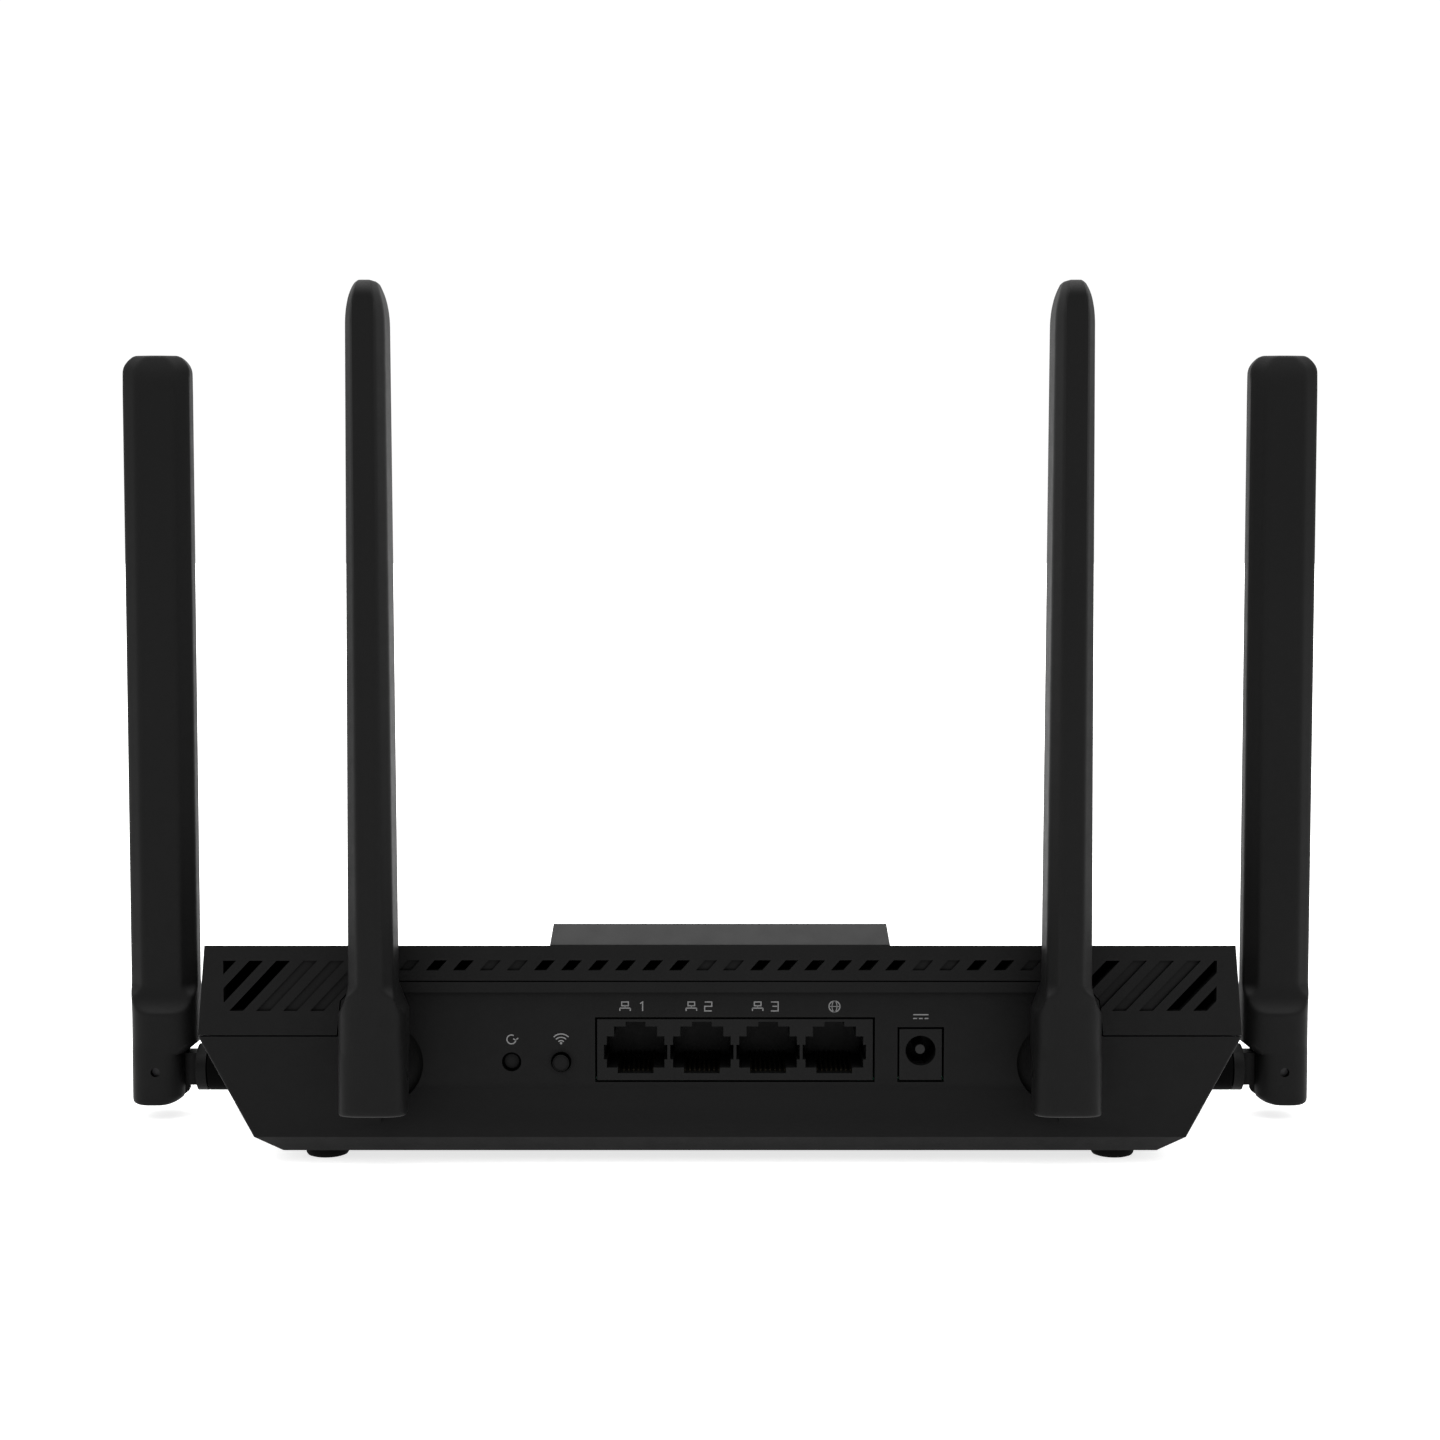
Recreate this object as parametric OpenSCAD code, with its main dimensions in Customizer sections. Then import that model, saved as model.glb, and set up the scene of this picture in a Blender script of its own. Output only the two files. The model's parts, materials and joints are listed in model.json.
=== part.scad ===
// Wireless router: a wedge-shaped case on four feet, with a port panel at the back and four
// antennas that swivel and fold. The port side faces +Y, and heights are above the table.
// "Right" pieces are at +X, which is on the right of someone who faces the front of the router.

/* [Case] */
// Width at the waist, the widest line, at the rear
case_w = 219; // [195:1:265]
// Depth, front to rear
case_depth = 128; // [115:1:160]
// Height of the rear top edge
case_h = 46.7; // [45:0.1:58]
// Height of the waist at the rear, where the two shells part
waist_h = 27.6; // [25:0.1:30]
// Wall thickness of both shells
wall = 2; // [1.6:0.1:2.5]
// How far the top falls towards the front, in degrees
top_fall = 10; // [8:0.5:11]
// How far the waist falls towards the front, in degrees
waist_fall = 6; // [4:0.5:7]
// Height of the underside above the table
foot_h = 2.4; // [2:0.1:4]
// Gap at the parting line
part_gap = 0.3; // [0.1:0.1:0.6]

/* [Port panel] */
// Depth of the port panel behind the rear face
recess = 2.5; // [1.5:0.1:3]
// Height of the top of the circuit board
board_top = 17.7; // [16:0.1:19]
// Pitch of the network sockets
socket_pitch = 13.95; // [13.5:0.05:15]
// Number of network sockets
socket_count = 4; // [3:1:4]
// Outer height of the socket block
block_h = 13; // [12.6:0.1:14]
// Depth of the socket block
block_depth = 18; // [16:0.5:21]
// Gap around the sockets in the panel
port_gap = 0.4; // [0.2:0.1:0.6]
// Bore of the power inlet
inlet_d = 6.3; // [5:0.1:6.5]
// Diameter of the power pin
power_pin_d = 2; // [1.3:0.1:2.5]
// Travel of the two push buttons
button_travel = 0.6; // [0.4:0.1:1]

/* [Vents] */
// Pitch of every vent
vent_pitch = 5.65; // [5:0.05:6.5]
// Horizontal width of a side vent
side_vent_w = 2.9; // [2:0.1:3.5]
// Depth of the blind vents
blind_depth = 0.5; // [0.3:0.1:0.9]

/* [Antennas] */
// Length of an antenna above its pin
antenna_len = 161.8; // [120:0.1:190]
// Width of the blade, square to its pin
blade_w = 15.25; // [14:0.05:17]
// Thickness of the base, along its pin
base_t = 14; // [13:0.1:15.5]
// Diameter of the hinge pin
pin_d = 2; // [1.6:0.1:2.6]
// Diameter of the knuckle's neck
neck_d = 8; // [7:0.1:8.4]
// Distance of the rear pins behind the rear face
rear_pin_out = 10.3; // [10.2:0.1:13]
// Height of the rear pins
rear_pin_z = 21.3; // [20:0.1:23]
// Distance of the side pins outside the waist
side_pin_out = 18.55; // [17:0.05:22]
// Height of the side pins
side_pin_z = 11.1; // [10.8:0.1:12]
// Distance of the side pins in front of the rear face
side_pin_in = 49; // [45:1:60]

/* [Hidden] */
$fn = 48;

shell_black = [0.09, 0.09, 0.095];
gloss_black = [0.06, 0.06, 0.065];
trim_grey = [0.17, 0.17, 0.18];
rubber_grey = [0.13, 0.13, 0.13];
board_green = [0.05, 0.24, 0.14];
metal = [0.78, 0.78, 0.8];
gold = [0.85, 0.68, 0.3];

// Clearances between pieces
run_clear = 0.05; // radial, of a shaft that turns in its bore
move_clear = 0.35; // between bodies that move past each other
seat_clear = 0.1; // between pieces that are fixed in one another

// Antenna base, about its pin: u is outward from the case, z is up
base_half = 6.35;
blade_inner = blade_w - base_half;
base_below = 7.7;
heel_r = 8.4;
flange_t = 2.3;
flange_r = 5.3;
flange_u = -heel_r - move_clear;
tongue_r = 3.7;
tongue_t = 5.4;
clip_t = 1;

// The whole object is centred on the origin, so its box runs from the nose to the rear antennas
rear_reach = rear_pin_out + base_half;
rear_y = (case_depth - rear_reach) / 2;
front_y = rear_y - case_depth;
half_w = case_w / 2;
panel_y = rear_y - recess;
panel_back = panel_y - wall;
big = 400;

// Case outline at the rear: how far each edge lies inside the waist, and its height
top_in = 1.65;
low_in = 11.5;
low_h = 6.2;
under_in = 17;
rear_chamfer = 4;
nose_h = 19;
nose_top = 5;
nose_under = 10;

// Where the antennas stand
rear_pin_x = half_w - 38.3;
pocket_r = 8.7;
pocket_floor = 5.5;
side_pin_x = half_w + side_pin_out;

// Parting line at the rear: the lower shell rises behind the ports to the ledge
ledge_top = case_h - 7.7;
ledge_low = ledge_top - 2.2;
tab_low_x = rear_pin_x + 8.8;
tab_mid_x = rear_pin_x + 8.1;
tab_mid_z = ledge_top - 4;
tab_top_x = rear_pin_x + 4.3;

// Sockets, buttons and inlet along the panel
block_right = 25.9;
block_w = socket_count * socket_pitch + 2.3;
block_left = block_right - block_w;
inlet_x = -42.25;
inlet_z = board_top + 6.3;
inlet_w = 9;
inlet_h = 10.9;
inlet_depth = 14;
button_z = board_top + 3.9;
reset_x = 43.9;
reset_r = 1.7;
reset_out = -0.9;
wps_x = 33.45;
wps_r = 1.8;
wps_out = 1.5;
button_flange = 1;
stem_r = 1.1;
stem_len = 3;
plunger_len = 1.6;
switch_w = 6;
switch_depth = 4;
switch_h = 7;

// Board, bosses and fasteners
board_t = 1.4;
board_under = board_top - board_t;
screw_x = half_w - 31.5;
tube_r = 3.5;
tube_top = board_top + 2.3;
board_half = screw_x - tube_r - 2.5;
board_rear = panel_y - 3.5;
board_front = front_y + 10;
notch_x = rear_pin_x - 10.5;
notch_y = rear_y - 14;
board_screw_x = board_half - 5;
screw_r = 1.4;
screw_clear_r = 1.6;
head_r = 2.8;
head_t = 1.6;
head_sink = 3;
foot_r = 4.6;
foot_x = half_w - 25.4;
foot_ys = [rear_y - 11, front_y + 22];
case_screw_ys = [rear_y - 34, front_y + 36];
board_screw_ys = [rear_y - 21, front_y + 22];

// Ribbed strip along the top
trim_half = 35.2;
trim_flare = 0.6;
trim_rise = 5.8;
trim_side_top = case_h + 4.8;
trim_front_rise = 1.9;
trim_rear = 2;
trim_rear_top = 8;
trim_front_top = case_depth - 28;
trim_front = case_depth - 24;
trim_sink = 0.5;
rib_pitch = 1.94;
rib_count = 36;
groove_w = 0.9;
groove_depth = 0.4;
peg_r = 1.5;

// Status lamps near the nose
lamp_count = 5;
lamp_pitch = 9;
lamp_y = front_y + 16;
lamp_r = 1;

// Chips sit together in the middle of the board
chip_y = rear_y - 46;
chip_t = 1.2;
pad_t = 0.5;
sink_w = 36;

function top_z(d) = case_h - d * tan(top_fall);
function waist_z(d) = waist_h - d * tan(waist_fall);

// Wall of the lower shell at height z and distance d from the rear face
function side_wall_x(d, z) = min(
    half_w - (waist_z(d) - z) * low_in / (waist_h - low_h),
    half_w - under_in + (z - foot_h) * (under_in - low_in) / (low_h - foot_h));

// Bushes in the side walls that the side knuckles turn in: their inner end clears the bevel
side_boss_x = side_wall_x(side_pin_in, side_pin_z - flange_r) - 2 * wall;

// Moves each edge of a convex outline inwards by d
function unit(v) = v / norm(v);
function edge_normal(a, b) = let(e = unit(b - a)) [-e.y, e.x];
function inset(pts, d) = let(n = len(pts)) [
    for (i = [0:n - 1])
        let(
            a = edge_normal(pts[(i + n - 1) % n], pts[i]),
            b = edge_normal(pts[i], pts[(i + 1) % n])
        )
        pts[i] + (a + b) * d / (1 + a * b)
];

// ---------------------------------------------------------------- case form

// Rear outline, widened without limit above and below
function wall_outline() = let(
    s = low_in / (waist_h - low_h),
    drop = 40,
    t = top_in / (case_h - waist_h),
    rise = 30
) [
    [-half_w + low_in + s * drop, low_h - drop],
    [half_w - low_in - s * drop, low_h - drop],
    [half_w, waist_h],
    [half_w - top_in - t * rise, case_h + rise],
    [-half_w + top_in + t * rise, case_h + rise],
    [-half_w, waist_h],
];

function under_outline() = let(
    s = (under_in - low_in) / (low_h - foot_h),
    rise = 80
) [
    [-half_w + under_in, foot_h],
    [half_w - under_in, foot_h],
    [half_w - under_in + s * rise, foot_h + rise],
    [-half_w + under_in - s * rise, foot_h + rise],
];

function side_outline() = [
    [front_y + nose_under, foot_h],
    [rear_y - rear_chamfer, foot_h],
    [rear_y, low_h],
    [rear_y, case_h],
    [front_y + nose_top, top_z(case_depth - nose_top)],
    [front_y, nose_h],
];

function plan_outline() = [
    [half_w - 34, front_y],
    [half_w - 14, front_y + 10],
    [half_w - 4, front_y + 34],
    [half_w, rear_y],
    [-half_w, rear_y],
    [-half_w + 4, front_y + 34],
    [-half_w + 14, front_y + 10],
    [-half_w + 34, front_y],
];

// A rear outline swept forwards, falling by an angle
module swept(pts, fall)
    translate([0, rear_y, 0])
        rotate([90 + fall, 0, 0])
            translate([0, 0, -60])
                linear_extrude(big)
                    polygon([for (p = pts) [p.x, p.y * cos(fall)]]);

// An outline in Y and Z, as wide as w
module across(pts, w)
    translate([-w / 2, 0, 0])
        rotate([90, 0, 90])
            linear_extrude(w)
                polygon(pts);

// The case as one solid, with every face moved inwards by d
module case_form(d = 0)
    intersection() {
        swept(inset(wall_outline(), d), waist_fall);
        swept(inset(under_outline(), d), 0);
        across(inset(side_outline(), d), big);
        linear_extrude(big)
            polygon(inset(plan_outline(), d));
    }

// Everything below the waist, less a gap
module below_waist(gap = 0)
    translate([0, rear_y, waist_h])
        rotate([waist_fall, 0, 0])
            translate([-big / 2, -big + 60, -big - gap])
                cube([big, big, big]);

module above_waist(gap = 0)
    translate([0, rear_y, waist_h])
        rotate([waist_fall, 0, 0])
            translate([-big / 2, -big + 60, gap])
                cube([big, big, big]);

// Part of the rear wall that belongs to the lower shell, grown by a gap
module rear_tab(gap = 0)
    translate([0, rear_y + 1, 0])
        rotate([90, 0, 0])
            linear_extrude(recess + wall + 1 + gap)
                polygon([
                    [-tab_low_x - gap, waist_h - 8],
                    [tab_low_x + gap, waist_h - 8],
                    [tab_low_x + gap, waist_h],
                    [tab_mid_x + gap, tab_mid_z],
                    [tab_top_x + gap, ledge_top + gap],
                    [-tab_top_x - gap, ledge_top + gap],
                    [-tab_mid_x - gap, tab_mid_z],
                    [-tab_low_x - gap, waist_h],
                ]);

module box_between(a, b)
    translate(a)
        cube(b - a);

module at_corners(x, ys)
    for (sx = [-1, 1], y = ys)
        translate([sx * x, y, 0])
            children();

// ---------------------------------------------------------------- lower shell

// The panel runs out to the rear face with a gentle slope below the ports
panel_full_z = 16.5;
panel_slope = 3;

module panel_recess()
    across([
        [rear_y + 1, ledge_low],
        [panel_y, ledge_low],
        [panel_y, panel_full_z],
        [rear_y + 1, panel_full_z - panel_slope * (recess + 1)],
    ], 2 * rear_pin_x);

// A cylinder on the axis of each rear knuckle
module rear_pocket(r, from, to)
    for (s = [-1, 1])
        translate([s * rear_pin_x, from, rear_pin_z])
            rotate([-90, 0, 0])
                cylinder(r = r, h = to - from);

// A cylinder on the axis of each side knuckle
module side_socket(r, from, to)
    for (s = [-1, 1])
        translate([s * from, rear_y - side_pin_in, side_pin_z])
            rotate([0, s * 90, 0])
                cylinder(r = r, h = to - from);

module panel_cuts() {
    box_between(
        [block_left - port_gap, rear_y - 12, board_top - port_gap],
        [block_right + port_gap, rear_y + 1, board_top + block_h + port_gap]);
    box_between(
        [inlet_x - inlet_w / 2 - port_gap, rear_y - 12, board_top - port_gap],
        [inlet_x + inlet_w / 2 + port_gap, rear_y + 1, board_top + inlet_h + port_gap]);
    button_hole(reset_x, reset_r);
    button_hole(wps_x, wps_r);
}

module button_hole(x, r)
    translate([x, panel_back - 1, button_z])
        rotate([-90, 0, 0])
            cylinder(r = r + move_clear, h = 10);

// Cooling slots under the case, in two rows
module under_vents()
    for (row = [-1, 1], i = [-5:5])
        translate([i * 8 - 1.25, (rear_y + front_y) / 2 + row * 14 - 9, 0])
            cube([2.5, 18, foot_h + wall + 1]);

label_w = 60;
label_d = 26;
label_t = 0.3;
label_y = front_y + 24;

module bottom_case()
    color(shell_black)
        difference() {
            union() {
                difference() {
                    intersection() {
                        case_form();
                        union() {
                            below_waist(part_gap / 2);
                            rear_tab(0);
                        }
                    }
                    case_form(wall);
                }
                // the panel is set in, so its wall stands further forward
                intersection() {
                    case_form();
                    rear_tab(0);
                }
                intersection() {
                    case_form();
                    box_between([-tab_low_x, panel_back, 0], [tab_low_x, rear_y, waist_h - 7]);
                }
                // lip that locates the upper shell
                intersection() {
                    difference() {
                        case_form(wall);
                        case_form(wall + 1.2);
                    }
                    above_waist(-3);
                    below_waist(-2);
                    box_between([-big, front_y, 0], [big, rear_y - 16, big]);
                }
                intersection() {
                    case_form();
                    rear_pocket(pocket_r + wall, rear_y - pocket_floor - wall, rear_y);
                }
                at_corners(screw_x, case_screw_ys)
                    translate([0, 0, foot_h])
                        cylinder(r = tube_r, h = tube_top - foot_h);
                at_corners(board_screw_x, board_screw_ys)
                    translate([0, 0, foot_h])
                        cylinder(r = 3, h = board_under - foot_h);
                at_corners(foot_x, foot_ys)
                    translate([0, 0, foot_h - 0.5])
                        cylinder(r = foot_r + 0.55, h = wall + 0.5);
            }
            panel_recess();
            panel_cuts();
            rear_pocket(pocket_r, rear_y - pocket_floor, rear_y + 1);
            rear_pocket(neck_d / 2 + run_clear, rear_y - 20, rear_y);
            side_socket(flange_r, side_boss_x - 5, side_pin_x);
            at_corners(screw_x, case_screw_ys) {
                cylinder(r = screw_clear_r, h = 60);
                cylinder(r = head_r + 0.2, h = foot_h + head_sink);
            }
            at_corners(board_screw_x, board_screw_ys)
                translate([0, 0, foot_h + wall])
                    cylinder(r = screw_r, h = 60);
            at_corners(foot_x, foot_ys)
                cylinder(r = foot_r + seat_clear, h = foot_h + 0.4);
            under_vents();
            translate([-label_w / 2 - seat_clear, label_y - label_d / 2 - seat_clear, 0])
                cube([label_w + 2 * seat_clear, label_d + 2 * seat_clear, foot_h + label_t]);
        }

module side_bushes()
    color(shell_black)
        difference() {
            union() {
                side_socket(flange_r, side_boss_x, side_pin_x + flange_u - flange_t - move_clear);
                intersection() {
                    case_form(wall);
                    side_socket(flange_r + 1, side_boss_x, half_w);
                }
            }
            side_socket(neck_d / 2 + run_clear, side_boss_x - 1, side_pin_x);
        }

// ---------------------------------------------------------------- upper shell

// A leaning slot through the rear wall: x is the end of its lower edge towards +X
module leaning_slot(x, z0, z1, w, lean, depth)
    translate([0, rear_y + 1, 0])
        rotate([90, 0, 0])
            linear_extrude(depth + 1)
                polygon([[x, z0], [x - lean, z1], [x - lean - w, z1], [x - w, z0]]);

small_vent_open = [
    0, 1, 1, 0, 0, 1, 1, 1, 1, 1, 1, 0, 0, 1, 1, 1, 1, 1, 1, 0, 0, 1, 1, 0,
];
small_vent_w = 2.6;
small_vent_h = 2.15;
small_vent_lean = 1.9;
small_vent_z = ledge_top + 2.45;

module small_vents()
    for (i = [0:len(small_vent_open) - 1]) {
        mid = ((len(small_vent_open) - 1) / 2 - i) * vent_pitch;
        leaning_slot(
            mid + (small_vent_w + small_vent_lean) / 2, small_vent_z, small_vent_z + small_vent_h,
            small_vent_w, small_vent_lean, small_vent_open[i] == 1 ? recess + wall : blind_depth);
    }

side_vent_z = waist_h + 5.3;
side_vent_h = 10.6;
side_vent_lean = 10;
side_vent_end = half_w - 5.6;

// One slot of a side vent panel, held inside the panel's rectangle
module side_vent(x, open, s)
    intersection() {
        leaning_slot(x, side_vent_z, side_vent_z + side_vent_h, side_vent_w, side_vent_lean,
            open ? recess + wall : blind_depth);
        box_between(
            [s > 0 ? tab_mid_x - 6 : -side_vent_end, rear_y - 10, 0],
            [s > 0 ? side_vent_end : -tab_mid_x + 6, rear_y + 2, big]);
    }

module side_vents() {
    // right: three open slots from the end, then three blind ones
    for (i = [0:5])
        side_vent(half_w + 4.55 - i * vent_pitch, i < 3, 1);
    // left: two open slots at the end, three blind, one open beside the antenna
    for (i = [0:5])
        side_vent(-half_w + 10.5 + i * vent_pitch, i < 2 || i == 5, -1);
}

// Flat slab under the top face, used to seat the strip
module under_top(from, to, half, sink)
    across([
        [rear_y - to, top_z(to) - sink],
        [rear_y - from, top_z(from) - sink],
        [rear_y - from, top_z(from) + 3],
        [rear_y - to, top_z(to) + 3],
    ], 2 * half);

peg_xs = [-22, 22];
peg_ys = [rear_y - 20, rear_y - trim_front + 18];

module pegs(r, low)
    for (x = peg_xs, y = peg_ys)
        translate([x, y, top_z(rear_y - y) - wall - low])
            cylinder(r = r, h = wall + low);

module lamps(r, z0, z1)
    for (i = [0:lamp_count - 1])
        translate([(i - (lamp_count - 1) / 2) * lamp_pitch, lamp_y, z0])
            cylinder(r = r, h = z1 - z0);

module top_cover()
    color(shell_black)
        difference() {
            union() {
                difference() {
                    intersection() {
                        case_form();
                        above_waist(part_gap / 2);
                    }
                    case_form(wall);
                }
                // posts that take the case screws
                intersection() {
                    case_form(wall / 2);
                    at_corners(screw_x, case_screw_ys)
                        translate([0, 0, tube_top])
                            cylinder(r = tube_r - 0.3, h = 60);
                }
            }
            rear_tab(part_gap);
            at_corners(screw_x, case_screw_ys)
                translate([0, 0, tube_top - 1])
                    cylinder(r = screw_r, h = 6.5);
            rear_pocket(pocket_r + wall + part_gap, rear_y - 20, rear_y + 1);
            small_vents();
            side_vents();
            under_top(trim_rear - seat_clear, trim_front + seat_clear,
                trim_half + trim_flare + seat_clear, trim_sink);
            pegs(peg_r + seat_clear, 2);
            lamps(lamp_r + seat_clear, board_top, case_h);
        }

module centre_trim()
    color(trim_grey)
        union() {
            difference() {
                intersection() {
                    across([
                        [rear_y - trim_front, top_z(trim_front) - trim_sink],
                        [rear_y - trim_rear, top_z(trim_rear) - trim_sink],
                        [rear_y - trim_rear, top_z(trim_rear) + 0.2],
                        [rear_y - trim_rear_top, top_z(trim_rear_top) + trim_rise],
                        [rear_y - trim_front_top, top_z(trim_front_top) + trim_front_rise],
                        [rear_y - trim_front, top_z(trim_front) + 0.2],
                    ], 2 * (trim_half + trim_flare));
                    swept([
                        [-trim_half - trim_flare, 0],
                        [trim_half + trim_flare, 0],
                        [trim_half + trim_flare, case_h - 1],
                        [trim_half, trim_side_top],
                        [-trim_half, trim_side_top],
                        [-trim_half - trim_flare, case_h - 1],
                    ], top_fall);
                }
                rib_grooves();
            }
            pegs(peg_r, 1.5);
        }

// Grooves along the strip, parallel to its top
module rib_grooves() {
    run = trim_front_top - trim_rear_top;
    tilt = atan((top_z(trim_rear_top) + trim_rise - top_z(trim_front_top) - trim_front_rise) / run);
    for (i = [0:rib_count])
        translate([
            (i - rib_count / 2) * rib_pitch,
            rear_y - trim_rear_top,
            top_z(trim_rear_top) + trim_rise,
        ])
            rotate([tilt, 0, 0])
                translate([-groove_w / 2, -run - 20, -groove_depth])
                    cube([groove_w, run + 40, 3]);
}

bar_z = board_top + 2.2;

module light_guide()
    color([0.75, 0.78, 0.8])
        union() {
            intersection() {
                case_form();
                lamps(lamp_r, board_top + 1, case_h);
            }
            translate([-lamp_pitch * lamp_count / 2, lamp_y - 1.2, bar_z])
                cube([lamp_pitch * lamp_count, 2.4, 1.2]);
            // feet that stand the bar on the board
            for (s = [-1, 1])
                translate([s * lamp_pitch * lamp_count / 2 - 1, lamp_y - 1.2, board_top])
                    cube([2, 2.4, bar_z - board_top + 1.2]);
        }

module rubber_feet()
    color(rubber_grey)
        at_corners(foot_x, foot_ys)
            rotate_extrude()
                polygon([
                    [0, 0], [foot_r - 0.9, 0], [foot_r - 0.35, 0.2], [foot_r - 0.05, 0.7],
                    [foot_r, 1.4], [foot_r, foot_h + 0.4], [0, foot_h + 0.4],
                ]);

module base_label()
    color([0.82, 0.82, 0.8])
        translate([-label_w / 2, label_y - label_d / 2, foot_h])
            cube([label_w, label_d, label_t]);

module screw(z_head, length, up)
    translate([0, 0, z_head])
        mirror([0, 0, up ? 0 : 1])
            union() {
                cylinder(r = screw_r, h = length);
                difference() {
                    translate([0, 0, -head_t])
                        cylinder(r = head_r, h = head_t);
                    // cross recess
                    for (a = [0, 90])
                        rotate([0, 0, a])
                            translate([-1.5, -0.3, -head_t - 1])
                                cube([3, 0.6, 1.9]);
                }
            }

module case_screws()
    color(metal)
        at_corners(screw_x, case_screw_ys)
            screw(foot_h + head_sink, tube_top + 4.5 - foot_h - head_sink, true);

module board_screws()
    color(metal)
        at_corners(board_screw_x, board_screw_ys)
            screw(board_top, board_t + 6, false);

// ---------------------------------------------------------------- board

module circuit_board()
    color(board_green)
        translate([0, 0, board_under])
            difference() {
                linear_extrude(board_t)
                    polygon([
                        [-board_half, board_front], [board_half, board_front],
                        [board_half, notch_y], [notch_x, notch_y], [notch_x, board_rear],
                        [-notch_x, board_rear], [-notch_x, notch_y], [-board_half, notch_y],
                    ]);
                at_corners(board_screw_x, board_screw_ys)
                    translate([0, 0, -1])
                        cylinder(r = screw_clear_r, h = board_t + 2);
            }

// Half outline of a network socket, from its floor up
socket_steps = [[3.75, 1.5], [6.05, 2.7], [6.65, 4.45], [6.05, 7.5], [4.5, 9.3], [2.05, 11.4]];
socket_top = 12.4;
socket_depth = 15;

function socket_x(i) = block_right - 1.15 - socket_pitch * (i + 0.5);

// One stack of boxes gives the stepped mouth: each step runs from its height to the next one's
module socket_mouth() {
    n = len(socket_steps);
    for (k = [0:n - 1])
        translate([-socket_steps[k][0], -socket_depth, socket_steps[k][1]])
            cube([
                2 * socket_steps[k][0],
                socket_depth + 1,
                (k == n - 1 ? socket_top : socket_steps[k + 1][1]) - socket_steps[k][1],
            ]);
}

module socket_block()
    color(gloss_black)
        difference() {
            translate([block_left, panel_y - block_depth, board_top])
                cube([block_w, block_depth, block_h]);
            for (i = [0:socket_count - 1])
                translate([socket_x(i), panel_y, board_top])
                    socket_mouth();
        }

contact_pitch = 1.02;
contact_w = 0.35;

// Sprung contacts: eight to a socket, rising from the front of the floor to the back wall
module socket_contacts()
    color(gold)
        for (i = [0:socket_count - 1], k = [0:7])
            translate([socket_x(i) + (k - 3.5) * contact_pitch, 0, board_top])
                across([
                    [panel_y - 2.4, socket_steps[0][1]],
                    [panel_y - 2.4, socket_steps[0][1] + 0.4],
                    [panel_y - socket_depth, socket_steps[2][1] - 1.1],
                    [panel_y - socket_depth, socket_steps[2][1] - 1.5],
                ], contact_w);

module dc_inlet()
    color(gloss_black)
        difference() {
            translate([inlet_x - inlet_w / 2, panel_y - inlet_depth, board_top])
                cube([inlet_w, inlet_depth, inlet_h]);
            translate([inlet_x, panel_y - inlet_depth + 3, inlet_z])
                rotate([-90, 0, 0])
                    cylinder(r = inlet_d / 2, h = inlet_depth);
            translate([inlet_x, panel_y - inlet_depth - 1, inlet_z])
                rotate([-90, 0, 0])
                    cylinder(r = power_pin_d / 2, h = 6);
            // slot for the side spring
            translate([inlet_x - 1.2, panel_y - inlet_depth + 3, inlet_z - inlet_d / 2 - 1.2])
                cube([2.4, inlet_depth - 5, 2]);
        }

module dc_pin()
    color(metal)
        translate([inlet_x, panel_y - inlet_depth, inlet_z])
            rotate([-90, 0, 0])
                cylinder(r = power_pin_d / 2, h = inlet_depth - 1.6);

module dc_spring()
    color(metal)
        translate([inlet_x, 0, inlet_z - inlet_d / 2])
            across([
                [panel_y - inlet_depth + 3, -1.2],
                [panel_y - 2.5, -1.2],
                [panel_y - 2.5, -0.8],
                [panel_y - 5, -0.1],
                [panel_y - 7.5, -0.8],
                [panel_y - inlet_depth + 3, -0.8],
            ], 2);

// ---------------------------------------------------------------- buttons

// A button runs in +Y out of the panel; its flange stops it behind the wall
stem_end = panel_back - move_clear - button_flange - stem_len;
switch_front = stem_end - move_clear;

module push_button(x, r, out)
    color(shell_black)
        translate([x, 0, button_z])
            rotate([-90, 0, 0])
                union() {
                    translate([0, 0, panel_back - move_clear - button_flange])
                        cylinder(r = r, h = panel_y + out - panel_back + move_clear + button_flange);
                    translate([0, 0, panel_back - move_clear - button_flange])
                        cylinder(r = r + 1.1, h = button_flange);
                    translate([0, 0, stem_end])
                        cylinder(r = stem_r, h = stem_len);
                }

module plunger(x)
    color([0.1, 0.1, 0.1])
        translate([x, stem_end - plunger_len, button_z])
            rotate([-90, 0, 0])
                cylinder(r = stem_r, h = plunger_len);

module tact_switch(x)
    color([0.2, 0.2, 0.21])
        difference() {
            translate([x - switch_w / 2, switch_front - button_travel - switch_depth, board_top])
                cube([switch_w, switch_depth, switch_h]);
            translate([x, stem_end - plunger_len - button_travel - move_clear, button_z])
                rotate([-90, 0, 0])
                    cylinder(r = stem_r + move_clear, h = 10);
        }

// ---------------------------------------------------------------- parts on the board

module on_board(x, y, size)
    translate([x - size.x / 2, y - size.y / 2, board_top])
        cube(size);

module processor()
    color([0.13, 0.13, 0.14])
        on_board(0, chip_y, [19, 19, chip_t]);

module thermal_pad()
    color([0.6, 0.66, 0.72])
        translate([0, 0, chip_t])
            on_board(0, chip_y, [17, 17, pad_t]);

module heat_sink()
    color(metal)
        difference() {
            translate([0, 0, chip_t + pad_t])
                on_board(0, chip_y, [sink_w, 24, 9]);
            for (i = [0:7])
                translate([-sink_w / 2 + 3 + i * 4, chip_y - 20, board_top + chip_t + pad_t + 2])
                    cube([2, 40, 20]);
        }

module memory_chips()
    color([0.12, 0.12, 0.13]) {
        on_board(28, chip_y - 2, [9, 13, 1.1]);
        on_board(-27, chip_y - 2, [8, 6, 1.6]);
    }

module radio_shields()
    color(metal) {
        on_board(41, chip_y - 14, [16, 24, 2.4]);
        on_board(-41, chip_y - 14, [16, 24, 2.4]);
    }

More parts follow.
